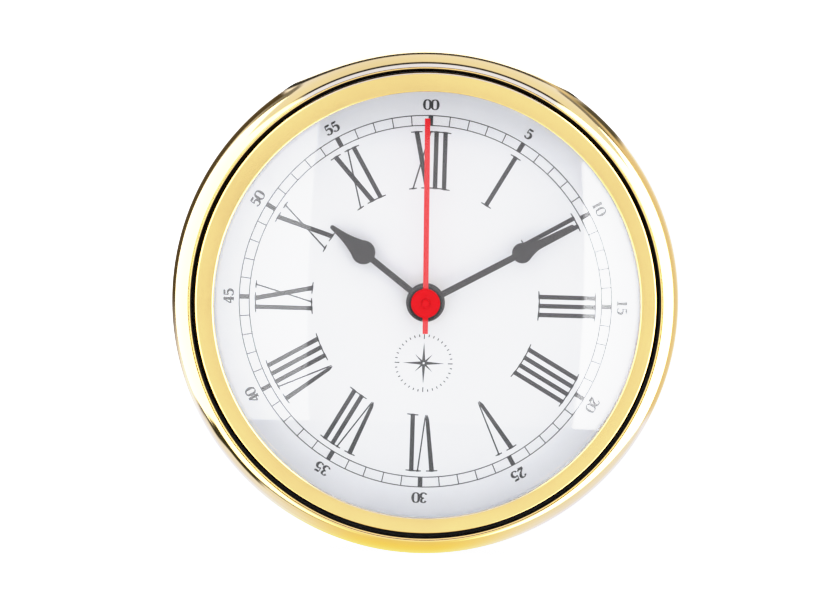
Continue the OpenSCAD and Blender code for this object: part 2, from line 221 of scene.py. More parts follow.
# ---------------------------------------------------------------- shader helpers
class Nodes:
    """A short way to write node trees."""

    def __init__(self, tree):
        self.tree = tree

    def add(self, kind, **settings):
        node = self.tree.nodes.new(kind)
        for key, value in settings.items():
            setattr(node, key, value)
        return node

    def put(self, socket, value):
        if isinstance(value, bpy.types.NodeSocket):
            self.tree.links.new(value, socket)
        else:
            socket.default_value = value

    def math(self, operation, a, b=0.0, c=0.0):
        node = self.add("ShaderNodeMath", operation=operation)
        for socket, value in zip(node.inputs, (a, b, c)):
            self.put(socket, value)
        return node.outputs[0]

    def step(self, value, start, end):
        """0 before start, 1 after end, smooth between."""
        node = self.add("ShaderNodeMapRange", interpolation_type="SMOOTHSTEP")
        self.put(node.inputs[0], value)
        self.put(node.inputs[1], start)
        self.put(node.inputs[2], end)
        return node.outputs[0]

    def band(self, value, start, end, soft):
        """1 between start and end."""
        rise = self.step(value, start - soft, start + soft)
        fall = self.step(value, end - soft, end + soft)
        return self.math("SUBTRACT", rise, fall)

    def colour(self, factor, a, b):
        """a where the factor is 0, b where it is 1."""
        node = self.add("ShaderNodeMix", data_type="RGBA")
        self.put(node.inputs[0], factor)
        for socket, value in ((node.inputs[6], a), (node.inputs[7], b)):
            if not isinstance(value, bpy.types.NodeSocket):
                value = (*value, 1.0)[:4]
            self.put(socket, value)
        return node.outputs[2]

    def noise(self, scale, detail=2.0, rough=0.5, stretch=None):
        source = self.add("ShaderNodeTexCoord").outputs["Object"]
        if stretch:
            mapping = self.add("ShaderNodeMapping")
            self.put(mapping.inputs[0], source)
            mapping.inputs[3].default_value = stretch
            source = mapping.outputs[0]
        node = self.add("ShaderNodeTexNoise")
        self.put(node.inputs["Vector"], source)
        node.inputs["Scale"].default_value = scale
        node.inputs["Detail"].default_value = detail
        node.inputs["Roughness"].default_value = rough
        return node.outputs["Fac"]

    def radius(self):
        """Distance from the dial's axis, and the place along it."""
        split = self.add("ShaderNodeSeparateXYZ")
        self.put(split.inputs[0], self.add("ShaderNodeTexCoord").outputs["Object"])
        x, y, z = split.outputs
        square = self.math("ADD", self.math("MULTIPLY", x, x), self.math("MULTIPLY", z, z))
        return self.math("SQRT", square), y

    def blend(self, a, share_a, b, share_b):
        """Two patterns added in the given shares."""
        return self.math("ADD", self.math("MULTIPLY", a, share_a), self.math("MULTIPLY", b, share_b))

    def rings(self, density, depth_share=0.6):
        """Fine concentric turning lines."""
        radius, depth = self.radius()
        across = self.math("ADD", radius, self.math("MULTIPLY", depth, depth_share))
        node = self.add("ShaderNodeTexNoise", noise_dimensions="1D")
        self.put(node.inputs["W"], self.math("MULTIPLY", across, density))
        node.inputs["Detail"].default_value = 3.0
        return node.outputs["Fac"]


def material(name, **values):
    """A new material; returns it, its node writer and its Principled shader."""
    mat = bpy.data.materials.new(name)
    mat.use_nodes = True
    writer = Nodes(mat.node_tree)
    shader = mat.node_tree.nodes["Principled BSDF"]
    for key, value in values.items():
        socket = shader.inputs[key.replace("_", " ")]
        socket.default_value = (*value, 1.0) if isinstance(value, tuple) else value
    return mat, writer, shader


def bump(writer, shader, height, strength, distance):
    node = writer.add("ShaderNodeBump")
    node.inputs["Strength"].default_value = strength
    node.inputs["Distance"].default_value = distance
    writer.put(node.inputs["Height"], height)
    writer.put(shader.inputs["Normal"], node.outputs[0])


def roughness(writer, shader, low, high, factor):
    node = writer.add("ShaderNodeMapRange")
    writer.put(node.inputs[0], factor)
    node.inputs[3].default_value = low
    node.inputs[4].default_value = high
    writer.put(shader.inputs["Roughness"], node.outputs[0])


def polished_brass(name, tone, low, high, ring_depth, painted_bore_shade=False):
    """Turned and polished brass with fine rings, hairlines and smudges; optionally with painted shade, near
    black, in the bore behind the bezel.
    """
    mat, n, shader = material(name, Metallic=1.0, Base_Color=tone)
    dark = tuple(c * 0.93 for c in tone)
    colour = n.colour(n.step(n.noise(35.0, 3.0), 0.4, 0.7), tone, dark)
    if painted_bore_shade:
        # Painted shade: near black where the bezel covers the bore, standing in for the shadow in the gap
        # between case and insert
        radius, depth = n.radius()
        near_bore = n.band(radius, 50.0 * MM, (BORE_HIGH + 0.2) * MM, 0.00004)
        inside = n.band(depth, (0.25 - BEZEL_FACE) * MM, -12.0 * MM, 0.00015)
        colour = n.colour(n.math("MULTIPLY", near_bore, inside), colour, (0.012, 0.009, 0.005))
    n.put(shader.inputs["Base Color"], colour)
    rings = n.rings(26000.0)
    hair = n.noise(900.0, 4.0, 0.7, stretch=(1.0, 1.0, 0.06))
    smudge = n.noise(60.0, 4.0, 0.6)
    roughness(n, shader, low, high, n.blend(rings, 0.5, smudge, 0.5))
    bump(n, shader, n.blend(rings, 0.8, hair, 0.2), 1.0, ring_depth)
    return mat


def moulded_plastic(name, tone, low=0.4, high=0.6):
    """Moulded plastic with a fine spark-eroded grain."""
    mat, n, shader = material(name, Base_Color=tone)
    grains = n.noise(2600.0, 3.0, 0.6)
    cloud = n.noise(50.0, 3.0)
    lighter = tuple(min(1.0, c * 1.25 + 0.004) for c in tone)
    n.put(shader.inputs["Base Color"], n.colour(n.step(cloud, 0.35, 0.75), tone, lighter))
    roughness(n, shader, low, high, n.blend(grains, 0.6, cloud, 0.4))
    bump(n, shader, grains, 0.6, 0.00002)
    return mat


def worn_metal(name, tone, low=0.22, high=0.42):
    """Plain metal with drawn or machined lines and small tarnish spots."""
    mat, n, shader = material(name, Metallic=1.0, Base_Color=tone)
    spots = n.step(n.noise(180.0, 5.0, 0.65), 0.55, 0.75)
    dark = tuple(c * 0.7 for c in tone)
    n.put(shader.inputs["Base Color"], n.colour(n.math("MULTIPLY", spots, 0.5), tone, dark))
    grain = n.noise(1500.0, 3.0, 0.6, stretch=(1.0, 1.0, 0.08))
    roughness(n, shader, low, high, grain)
    bump(n, shader, grain, 0.5, 0.00001)
    return mat


def satin_paint(name, tone, rough, gloss=0.5):
    """Thin sprayed paint with a little orange peel and fine dust."""
    mat, n, shader = material(name, Base_Color=tone)
    shader.inputs["Specular IOR Level"].default_value = gloss
    peel = n.noise(1400.0, 2.0)
    dust = n.step(n.noise(3500.0, 4.0, 0.7), 0.62, 0.8)
    lighter = tuple(min(1.0, c + 0.03) for c in tone)
    n.put(shader.inputs["Base Color"], n.colour(n.math("MULTIPLY", dust, 0.5), tone, lighter))
    roughness(n, shader, rough - 0.06, rough + 0.08, n.blend(peel, 0.6, dust, 0.4))
    bump(n, shader, peel, 0.3, 0.00001)
    return mat


def rubber(name, tone):
    """Matt moulded rubber with a dusty bloom."""
    mat, n, shader = material(name, Base_Color=tone)
    bloom = n.noise(220.0, 5.0, 0.65)
    lighter = tuple(c + 0.03 for c in tone)
    n.put(shader.inputs["Base Color"], n.colour(n.step(bloom, 0.45, 0.75), tone, lighter))
    roughness(n, shader, 0.6, 0.85, bloom)
    bump(n, shader, n.noise(3000.0, 2.0), 0.5, 0.00002)
    return mat


def clear_glass(name):
    """Mineral glass that lets lamp light through, with faint wipe marks."""
    mat, n, shader = material(name, Base_Color=(0.985, 0.99, 0.992), IOR=1.5)
    shader.inputs["Transmission Weight"].default_value = 1.0
    wipe = n.noise(45.0, 4.0, 0.6, stretch=(1.0, 1.0, 0.35))
    roughness(n, shader, 0.0, 0.012, n.step(wipe, 0.5, 0.8))
    bump(n, shader, n.noise(30.0, 2.0), 0.08, 0.00002)
    clear = n.add("ShaderNodeBsdfTransparent")
    path = n.add("ShaderNodeLightPath")
    mix = n.add("ShaderNodeMixShader")
    n.put(mix.inputs[0], path.outputs["Is Shadow Ray"])
    n.put(mix.inputs[1], shader.outputs[0])
    n.put(mix.inputs[2], clear.outputs[0])
    n.put(mat.node_tree.nodes["Material Output"].inputs["Surface"], mix.outputs[0])
    return mat


def dial_white(name):
    """Satin white dial lacquer with a fine paper-like tooth."""
    mat, n, shader = material(name, Base_Color=(0.83, 0.84, 0.87))
    tooth = n.noise(5000.0, 3.0, 0.6)
    cloud = n.noise(40.0, 3.0)
    colour = n.colour(n.step(cloud, 0.3, 0.8), (0.825, 0.835, 0.87), (0.845, 0.85, 0.875))
    n.put(shader.inputs["Base Color"], colour)
    roughness(n, shader, 0.5, 0.65, tooth)
    bump(n, shader, tooth, 0.2, 0.00001)
    return mat


def felt(name, tone):
    """Short fibres pressed flat."""
    mat, n, shader = material(name, Base_Color=tone)
    fibres = n.noise(1800.0, 6.0, 0.75)
    lighter = tuple(c + 0.05 for c in tone)
    n.put(shader.inputs["Base Color"], n.colour(fibres, tone, lighter))
    roughness(n, shader, 0.85, 1.0, fibres)
    bump(n, shader, fibres, 1.0, 0.0002)
    return mat


def battery_sleeve(name):
    """Plain shrink sleeve: dark body, copper band at the positive end, bare steel ends."""
    low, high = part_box("battery")
    length = high[0] - low[0]
    mat, n, shader = material(name)
    split = n.add("ShaderNodeSeparateXYZ")
    n.put(split.inputs[0], n.add("ShaderNodeTexCoord").outputs["Object"])
    along = n.math("DIVIDE", n.math("SUBTRACT", split.outputs[0], low[0]), length)
    grime = n.noise(300.0, 4.0)
    body = n.colour(n.step(grime, 0.4, 0.7), (0.015, 0.015, 0.017), (0.03, 0.03, 0.032))
    copper = n.colour(n.step(grime, 0.4, 0.7), (0.55, 0.25, 0.09), (0.48, 0.21, 0.08))
    colour = n.colour(n.band(along, 0.66, 0.955, 0.003), body, copper)
    ends = n.math("SUBTRACT", 1.0, n.band(along, 0.022, 0.955, 0.002))
    n.put(shader.inputs["Base Color"], n.colour(ends, colour, (0.62, 0.62, 0.63)))
    n.put(shader.inputs["Metallic"], ends)
    roughness(n, shader, 0.18, 0.32, grime)
    bump(n, shader, n.noise(500.0, 2.0), 0.2, 0.00003)
    return mat


def coil_winding(name):
    """Enamelled wire wound side by side."""
    mat, n, shader = material(name, Metallic=0.6, Base_Color=(0.5, 0.17, 0.06))
    wave = n.add("ShaderNodeTexWave", bands_direction="Z")
    n.put(wave.inputs["Vector"], n.add("ShaderNodeTexCoord").outputs["Object"])
    wave.inputs["Scale"].default_value = 1600.0
    wave.inputs["Distortion"].default_value = 0.6
    n.put(shader.inputs["Base Color"], n.colour(wave.outputs["Fac"], (0.3, 0.08, 0.03), (0.62, 0.24, 0.08)))
    roughness(n, shader, 0.25, 0.4, wave.outputs["Fac"])
    bump(n, shader, wave.outputs["Fac"], 0.8, 0.00006)
    return mat


def circuit_green(name):
    """Solder mask with faint copper tracks under it."""
    mat, n, shader = material(name, Base_Color=(0.02, 0.14, 0.06))
    brick = n.add("ShaderNodeTexBrick")
    mapping = n.add("ShaderNodeMapping")
    n.put(mapping.inputs[0], n.add("ShaderNodeTexCoord").outputs["Object"])
    mapping.inputs[2].default_value = (math.radians(90), 0.0, 0.0)
    n.put(brick.inputs["Vector"], mapping.outputs[0])
    brick.inputs["Scale"].default_value = 420.0
    brick.inputs["Mortar Size"].default_value = 0.04
    cloud = n.noise(800.0, 3.0)
    mask = n.colour(cloud, (0.015, 0.11, 0.045), (0.025, 0.16, 0.07))
    n.put(shader.inputs["Base Color"], n.colour(brick.outputs["Fac"], mask, (0.06, 0.3, 0.12)))
    roughness(n, shader, 0.25, 0.4, cloud)
    bump(n, shader, brick.outputs["Fac"], 0.5, 0.00003)
    return mat


# The case brass carries painted shade, near black, in its bore behind the bezel
CASE_BRASS = polished_brass("case_brass", (0.90, 0.66, 0.26), 0.05, 0.10, 0.0000006, painted_bore_shade=True)
BEZEL_BRASS = polished_brass("bezel_brass", (0.89, 0.67, 0.265), 0.09, 0.14, 0.0000010)
GLASS = clear_glass("domed_glass")
RUBBER = rubber("black_rubber", (0.02, 0.02, 0.02))
BLACK_PLASTIC = moulded_plastic("black_moulding", (0.018, 0.018, 0.02))
PALE_PLASTIC = moulded_plastic("pale_moulding", (0.72, 0.73, 0.76), 0.45, 0.6)
DIAL_WHITE = dial_white("dial_lacquer")
INK = satin_paint("printing_ink", (0.012, 0.012, 0.014), 0.45)
HAND_BLACK = satin_paint("hand_black", (0.006, 0.006, 0.007), 0.38)
HAND_RED = satin_paint("hand_red", (0.80, 0.003, 0.010), 0.35, 0.08)
GEAR_BRASS = worn_metal("gear_brass", (0.78, 0.58, 0.26))
STEEL = worn_metal("plain_steel", (0.56, 0.56, 0.57))
ZINC = worn_metal("zinc_plate", (0.62, 0.63, 0.66), 0.25, 0.45)
COPPER = coil_winding("coil_winding")
GREEN = circuit_green("circuit_green")
SLEEVE = battery_sleeve("battery_sleeve")
FELT = felt("black_felt", (0.02, 0.02, 0.022))


# ---------------------------------------------------------------- case
def arc(x, y, radius, start, end, steps):
    """Points along an arc, without its first point; angles in radians from the radial direction."""
    return [(x + radius * math.cos(start + (end - start) * k / steps),
             y + radius * math.sin(start + (end - start) * k / steps)) for k in range(1, steps + 1)]


def case_outline():
    """Section of the case: rounded back edge, swelling flank, front shoulder, ledge and bores."""
    ring = RIM_RADIUS - SWELL
    rise = BEZEL_FACE - WIDEST
    drop = WIDEST - BACK_ROUND
    reach = math.sqrt((BACK_CURVE - BACK_ROUND) ** 2 - drop ** 2)
    back_tilt = math.atan2(drop, reach)
    back_ring = RIM_RADIUS - BACK_CURVE + reach
    ledge = BEZEL_FACE - LEDGE_DROP
    edge = BORE_HIGH + FRONT_EDGE
    end = math.acos((edge - ring) / SWELL)
    points = [(back_ring, 0)]
    points += arc(back_ring, BACK_ROUND, BACK_ROUND, -math.pi / 2, -back_tilt, 12)
    points += arc(RIM_RADIUS - BACK_CURVE, WIDEST, BACK_CURVE, -back_tilt, 0, 32)
    for k in range(1, 80):
        a = end * k / 80
        points.append((ring + SWELL * math.cos(a), WIDEST + rise * math.sin(a)))
    inner = [
        (edge, WIDEST + rise * math.sin(end), 0.06),
        (edge - 0.01, ledge, 0.06),
        (BORE_HIGH, ledge, 0.15),
        (BORE_HIGH, SHOULDER, 0.0),
        (BORE_LOW, SHOULDER, 0.2),
        (BORE_LOW, 0, 0.2),
        (BORE_LOW + 1.0, 0, 0.0),
    ]
    return points + rounded(inner, 4)[:-1]


def screw_cutter(degrees):
    """A countersunk hole through the back plate."""
    wide = SCREW_HOLE + SINK
    sink = [(0.0, -1.0), (wide, -1.0), (wide, 0.0), (SCREW_HOLE, SINK), (SCREW_HOLE, BACK_WALL + 1),
            (0.0, BACK_WALL + 1)]
    cutter = lathe("cutter", sink, CASE_BRASS, 48, 35)
    a = math.radians(degrees)
    for vertex in cutter.data.vertices:
        vertex.co.x += SCREW_RING * math.sin(a) * MM
        vertex.co.z += SCREW_RING * math.cos(a) * MM
    return cutter


def make_back_plate():
    outline = rounded([
        (ACCESS_RADIUS, 0, 0.3),
        (BORE_LOW, 0, 0.2),
        (BORE_LOW, BACK_WALL, 0.2),
        (ACCESS_RADIUS, BACK_WALL, 0.3),
    ], 4)
    plate = lathe("back_plate_visual", outline, CASE_BRASS, 240, 35)
    plate.modifiers.clear()
    cutters = [screw_cutter(120 * k) for k in range(3)]
    for cutter in cutters:
        cut = plate.modifiers.new("hole", "BOOLEAN")
        cut.object = cutter
        cut.solver = "EXACT"
    depsgraph = bpy.context.evaluated_depsgraph_get()
    mesh = bpy.data.meshes.new_from_object(plate.evaluated_get(depsgraph))
    plate.modifiers.clear()
    plate.data = mesh
    mesh.set_sharp_from_angle(angle=math.radians(35))
    for poly in mesh.polygons:
        poly.use_smooth = abs(poly.normal.y) < 0.999
    even_shading(plate)
    for cutter in cutters:
        bpy.data.objects.remove(cutter)
    return plate


def make_case():
    ring = lathe("case_shell_visual", case_outline(), CASE_BRASS, 480, 35)
    for obj, node in ((ring, "case_shell"), (make_back_plate(), "back_plate")):
        obj.visible_diffuse = False
        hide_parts(node)
        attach(obj, "case")


# ---------------------------------------------------------------- insert
def shift_ring(ring):
    """The ring sits a little off the axis, and its opening a little off the ring's own centre."""
    for vertex in ring.data.vertices:
        across = math.hypot(vertex.co.x, vertex.co.z) / MM
        inward = (BEZEL_RADIUS - across) / (BEZEL_RADIUS - LIP_RADIUS)
        vertex.co.x += (0.03 + inward * 0.28) * MM
        vertex.co.z += (0.18 - inward * 0.42) * MM


def make_bezel():
    outline = rounded([
        (LIP_RADIUS, BEZEL_FACE - LIP_DEPTH, 0.1),
        (LIP_RADIUS, BEZEL_FACE, 0.38),
        (BEZEL_RADIUS, BEZEL_FACE - 0.02, 0.42),
        (BEZEL_RADIUS, BEZEL_BACK, 0.1),
        (SKIRT_BORE, BEZEL_BACK, 0.1),
        (SKIRT_BORE, BEZEL_FACE - LIP_DEPTH, 0.1),
    ], 8)
    ring = lathe("bezel_ring_visual", outline, BEZEL_BRASS, 480, 40)
    ring.visible_diffuse = False
    shift_ring(ring)
    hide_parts("bezel_ring")
    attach(ring, "insert")


def make_glass():
    centre = DOME_TOP - GLASS_CURVE
    steps = 40
    upper = []
    lower = []
    inner_curve = GLASS_CURVE - GLASS_THICK
    for k in range(steps + 1):
        r = GLASS_EDGE * k / steps
        upper.append((r, centre + math.sqrt(GLASS_CURVE ** 2 - r * r)))
        lower.append((r, centre + math.sqrt(inner_curve ** 2 - r * r)))
    outline = upper + list(reversed(lower))
    pane = lathe("glass_visual", outline, GLASS, 240, 30)
    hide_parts("glass")
    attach(pane, "insert")


def make_rehaut():
    inner = 48.7
    foot = DIAL_FACE + 0.01
    outline = rounded([
        (inner + 0.2, foot, 0.0),
        (SEAT_RADIUS, foot, 0.0),
        (SEAT_RADIUS, REHAUT_TOP - 0.7, 0.1),
        (inner, REHAUT_TOP, 0.15),
        (inner, REHAUT_TOP - 2.1, 0.0),
        (inner + 0.05, DIAL_FACE + 2.0, 1.0),
    ], 6)
    ring = lathe("rehaut_visual", outline, PALE_PLASTIC, 360, 30)
    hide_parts("rehaut")
    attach(ring, "insert")


def make_dial():
    centre_hole = 3.45
    outline = rounded([
        (centre_hole, DIAL_BACK, 0.05),
        (DIAL_RADIUS, DIAL_BACK, 0.05),
        (DIAL_RADIUS, DIAL_FACE, 0.08),
        (centre_hole, DIAL_FACE, 0.08),
    ], 3)
    plate = lathe("dial_plate_visual", outline, DIAL_WHITE, 360, 30)
    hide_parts("dial_plate")
    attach(plate, "insert")


# ---------------------------------------------------------------- dial print
TRACK_INNER = 39.93
LINE = 0.21
HOUR_MARK = 1.04
NUMERAL_INNER = 25.75
NUMERAL_OUTER = 38.75
SERIF = 0.24
THICK = 1.0
THIN = 0.33
NUMBER_RING = 44.75
NUMBER_HEIGHT = 2.35
DIGIT_PITCH = 1.72
DIGIT_WIDE = 1.12
DIGIT_BOLD = 1.8
ROSE_CENTRE = -14.0
ROSE_RADIUS = 6.6
# Letters of each hour numeral: value and sideways place of its centre.
HOURS = [
    [(10, -1.75), (1, 1.4), (1, 3.44)],
    [(1, 0.2)],
    [(1, -0.72), (1, 1.32)],
    [(1, -1.84), (1, 0.2), (1, 2.24)],
    [(1, -3.06), (1, -1.02), (1, 1.02), (1, 3.06)],
    [(5, 0.0)],
    [(5, -1.1), (1, 2.1)],
    [(5, -2.0), (1, 1.05), (1, 3.09)],
    [(5, -2.95), (1, 0.1), (1, 2.14), (1, 4.18)],
    [(1, -2.25), (10, 1.05)],
    [(10, 0.2)],
    [(10, -1.0), (1, 2.3)],
]


def arc_point(u, r):
    """A point u to the side of the twelve line, on the circle of radius r."""
    return (u, math.sqrt(r * r - u * u))


def letter_strokes(value, at):
    """Strokes (width, inner place, outer place) and serifs (place, width, outer end)."""
    if value == 1:
        strokes = [(THICK, at, at)]
        serifs = [(at, 2.6, True), (at, 2.6, False)]
    elif value == 5:
        strokes = [(THICK * 1.08, at, at - 1.45), (THIN, at + 0.3, at + 1.8)]
        serifs = [(at - 1.45, 2.6, True), (at + 1.8, 1.6, True)]
    else:
        strokes = [(THICK * 1.05, at + 1.35, at - 1.35), (THIN, at - 1.85, at + 1.85)]
        serifs = [(at - 1.35, 2.6, True), (at + 1.85, 1.75, True)]
        serifs += [(at + 1.35, 2.6, False), (at - 1.85, 1.75, False)]
    return strokes, serifs


def turned(points, degrees):
    """Points turned clockwise about the dial's centre."""
    a = math.radians(degrees)
    return [(x * math.cos(a) + y * math.sin(a), y * math.cos(a) - x * math.sin(a)) for x, y in points]


def add_numeral(verts, faces, letters, degrees):
    """One Roman numeral, its top pointing outwards."""
    low = DIAL_FACE
    high = DIAL_FACE + PRINT
    for value, at in letters:
        strokes, serifs = letter_strokes(value, at)
        for width, inner, outer in strokes:
            foot = Vector(arc_point(inner, NUMERAL_INNER + 0.03))
            top = Vector(arc_point(outer, NUMERAL_OUTER - 0.03))
            path = [foot, top]
            widths = [width, width]
            if value == 5:
                # The strokes of a five run to a point at the foot
                path = [foot, foot.lerp(top, 0.08), top]
                widths = [0.16, width * (0.75 if width > THIN else 0.9), width]
            ribbon(verts, faces, turned(path, degrees), widths, low, high)
        for place, width, outer in serifs:
            r = NUMERAL_OUTER - SERIF / 2 if outer else NUMERAL_INNER + SERIF / 2
            path = [arc_point(place + width * (k / 8 - 0.5), r) for k in range(9)]
            bulge = [SERIF * (1 + 0.7 * math.exp(-((k - 4) / 1.6) ** 2)) for k in range(9)]
            ribbon(verts, faces, turned(path, degrees), bulge, low, high + LAYER)


# Strokes of each digit: (across, up, width) as shares of the number's height.
DIGITS = {
    "0": [[(0.0, 0.97, 0.05), (0.2, 0.86, 0.1), (0.27, 0.5, 0.15), (0.2, 0.14, 0.1), (0.0, 0.03, 0.05),
           (-0.2, 0.14, 0.1), (-0.27, 0.5, 0.15), (-0.2, 0.86, 0.1), (0.0, 0.97, 0.05)]],
    "1": [[(0.02, 0.0, 0.15), (0.02, 0.98, 0.15)], [(-0.2, 0.8, 0.03), (0.0, 0.95, 0.09)],
          [(-0.2, 0.025, 0.05), (0.24, 0.025, 0.05)]],
    "2": [[(-0.2, 0.74, 0.14), (-0.17, 0.87, 0.07), (0.0, 0.97, 0.06), (0.18, 0.88, 0.12), (0.2, 0.68, 0.15),
           (0.06, 0.42, 0.1), (-0.16, 0.17, 0.07), (-0.22, 0.09, 0.06)],
          [(-0.24, 0.07, 0.14), (0.2, 0.07, 0.14)], [(0.22, 0.06, 0.06), (0.27, 0.26, 0.05)]],
    "3": [[(-0.19, 0.8, 0.13), (-0.12, 0.93, 0.07), (0.04, 0.96, 0.06), (0.18, 0.83, 0.13), (0.12, 0.6, 0.09),
           (-0.05, 0.53, 0.05)],
          [(-0.05, 0.53, 0.05), (0.15, 0.48, 0.09), (0.24, 0.28, 0.15), (0.12, 0.07, 0.09),
           (-0.06, 0.03, 0.06), (-0.2, 0.1, 0.08), (-0.22, 0.19, 0.13)]],
    "4": [[(0.1, 0.98, 0.06), (-0.27, 0.3, 0.06)], [(-0.28, 0.27, 0.07), (0.3, 0.27, 0.07)],
          [(0.12, 0.0, 0.14), (0.12, 0.98, 0.14)], [(-0.06, 0.025, 0.05), (0.28, 0.025, 0.05)]],
    "5": [[(-0.16, 0.92, 0.1), (0.05, 0.9, 0.11), (0.22, 0.95, 0.07)],
          [(-0.17, 0.95, 0.05), (-0.2, 0.52, 0.05)],
          [(-0.2, 0.5, 0.05), (-0.02, 0.6, 0.07), (0.17, 0.5, 0.13), (0.22, 0.3, 0.15), (0.12, 0.09, 0.1),
           (-0.06, 0.03, 0.06), (-0.2, 0.1, 0.08), (-0.22, 0.19, 0.13)]],
}


def add_number(verts, faces, text, degrees):
    """One minute number, its top pointing outwards."""
    for index, char in enumerate(text):
        shift = (index - (len(text) - 1) / 2) * DIGIT_PITCH
        for stroke in DIGITS[char]:
            keys = smooth_path(stroke, 5) if len(stroke) > 2 else stroke
            path = []
            for x, y, w in keys:
                path.append((shift + x * NUMBER_HEIGHT * DIGIT_WIDE, NUMBER_RING + (y - 0.5) * NUMBER_HEIGHT))
            widths = [w * NUMBER_HEIGHT * DIGIT_BOLD for x, y, w in keys]
            ribbon(verts, faces, turned(path, degrees), widths, DIAL_FACE, DIAL_FACE + PRINT)


def circle_path(radius, steps=360):
    angles = [2 * math.pi * k / steps for k in range(steps)]
    return [(radius * math.sin(a), radius * math.cos(a)) for a in angles]


def make_print():
    """Minute track, hour numerals and minute numbers."""
    verts = []
    faces = []
    low = DIAL_FACE
    high = DIAL_FACE + PRINT
    for radius in (TRACK_OUTER - LINE / 2, TRACK_INNER + LINE / 2):
        ribbon(verts, faces, circle_path(radius), [LINE] * 360, low, high, closed=True)
    for minute in range(60):
        width = HOUR_MARK if minute % 5 == 0 else LINE
        ends = [(0.0, TRACK_INNER + 0.02), (0.0, TRACK_OUTER - 0.02)]
        ribbon(verts, faces, turned(ends, 6 * minute), [width, width], low, high + LAYER)
    for hour, letters in enumerate(HOURS):
        add_numeral(verts, faces, letters, 30 * hour)
    for step in range(12):
        text = "00" if step == 0 else str(5 * step)
        add_number(verts, faces, text, 30 * step)
    marks = build("dial_print_visual", verts, faces, INK, 40)
    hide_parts("dial_print")
    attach(marks, "insert")


def spoke(degrees, inner, outer):
    """A line that points away from the rose's centre."""
    a = math.radians(degrees)
    return [(r * math.sin(a), ROSE_CENTRE + r * math.cos(a)) for r in (inner, outer)]


def make_rose():
    """A plain compass rose on the lower half of the dial."""
    verts = []
    faces = []
    low = DIAL_FACE
    high = DIAL_FACE + PRINT
    for k in range(36):
        length = 1.1 if k % 9 == 0 else 0.55
        ribbon(verts, faces, spoke(10 * k, ROSE_RADIUS - length, ROSE_RADIUS), [0.22, 0.22], low, high)
    for k in range(8):
        reach, width = ((4.6, 0.8), (2.7, 0.5))[k % 2]
        ribbon(verts, faces, spoke(45 * k, 0.25, reach), [width, 0.05], low, high + 2 * LAYER * (k % 2))
    rose = build("dial_rose_visual", verts, faces, INK, 40)
    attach(rose, "insert")


# ---------------------------------------------------------------- hands
def soften(obj, width, segments):
    """Rounds the sharp edges a little."""
    edge = obj.modifiers.new("edge", "BEVEL")
    edge.width = width * MM
    edge.segments = segments
    edge.limit_method = "ANGLE"
    edge.angle_limit = math.radians(50)
    edge.harden_normals = True


def plate(name, outline, hole, low, high, mat, degrees, edge=0.08):
    """A flat pressed piece with a round hole and softened edges."""
    bm = bmesh.new()
    loops = []
    for points in (outline, hole):
        ring = [bm.verts.new((x, y, 0)) for x, y in turned(points, degrees)]
        for i, v in enumerate(ring):
            loops.append(bm.edges.new((v, ring[(i + 1) % len(ring)])))
    bmesh.ops.triangle_fill(bm, use_beauty=True, edges=loops, normal=(0, 0, 1))
    bottom = [(v.co.x, v.co.y, low) for v in bm.verts]
    top = [(x, y, high) for x, y, z in bottom]
    index = {v: i for i, v in enumerate(bm.verts)}
    fill = [[index[v] for v in f.verts] for f in bm.faces]
    walls = [(index[e.verts[0]], index[e.verts[1]]) for e in loops if e.is_valid]
    bm.free()
    count = len(bottom)
    faces = [list(reversed(f)) for f in fill]
    faces += [[i + count for i in f] for f in fill]
    faces += [(a, b, b + count, a + count) for a, b in walls]
    piece = build(name, bottom + top, faces, mat, 30)
    soften(piece, edge, 3)
    return piece


def hand_outline(keys, boss, bulb_at, bulb):
    """Right edge from the boss to the tip, mirrored; the bulb is a true arc."""
    right = []
    foot = math.asin(keys[0][1] / boss)
    for k in range(41):
        a = math.pi - (math.pi - foot) * k / 40
        right.append((boss * math.sin(a), boss * math.cos(a)))
    start = math.pi - math.asin(keys[1][1] / bulb)
    for k in range(25):
        a = start - (start - math.radians(52)) * k / 24
        right.append((bulb * math.sin(a), bulb_at + bulb * math.cos(a)))
    for y, half in keys[2:]:
        right.append((half, y))
    left = [(-x, y) for x, y in reversed(right[1:])]
    return right + (left[1:] if right[-1][0] < 1e-6 else left)


def round_tip(y, half, steps=8):
    """Keys for a round tip that ends at y with half width half."""
    return [(y - half + half * math.sin(math.pi / 2 * k / steps), half * math.cos(math.pi / 2 * k / steps))
            for k in range(steps + 1)]


def make_hand(kind, body, keys, boss, bulb_at, bulb, hole, collar_radius, collar, lift, degrees):
    """A pressed hand with a raised collar round its hole."""
    base, top = collar
    low = base + lift
    name = kind + "_hand"
    piece = plate(name + "_visual", hand_outline(keys, boss, bulb_at, bulb), circle_path(hole, 48),
                  low, low + 0.4, HAND_BLACK, degrees)
    section = rounded([
        (hole, base, 0.08),
        (collar_radius, base, 0.12),
        (collar_radius, top, 0.2),
        (hole, top, 0.12),
    ], 4)
    tube = lathe(name + "_visual_collar", section, HAND_BLACK, 96, 30)
    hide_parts(name)
    for obj in (piece, tube):
        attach(obj, body)


def make_hands():
    """The spade hands: each taper is given as (distance from the axis, half width)."""
    neck = [(0, 0.72), (0, 0.72)]
    taper = [(26.0, 1.84), (27.2, 1.36), (28.6, 1.03), (30.5, 0.84), (33.5, 0.74), (37.2, 0.6)]
    keys = neck + smooth_path(taper, 5)[:-1] + round_tip(37.85, 0.58)
    make_hand("minute", "minutes", keys, 4.0, 24.6, 2.3,
              1.5, 2.6, MINUTE_COLLAR, 0.3, 61.0)
    neck = [(0, 0.7), (0, 0.7)]
    taper = [(19.75, 2.13), (20.9, 1.72), (22.2, 1.32), (23.8, 0.95), (25.6, 0.68), (27.0, 0.5)]
    keys = neck + smooth_path(taper, 5)[:-1] + round_tip(27.6, 0.48)
    make_hand("hour", "hours", keys, 4.4, 18.1, 2.7,
              2.5, 3.4, HOUR_COLLAR, 0.2, 307.3)


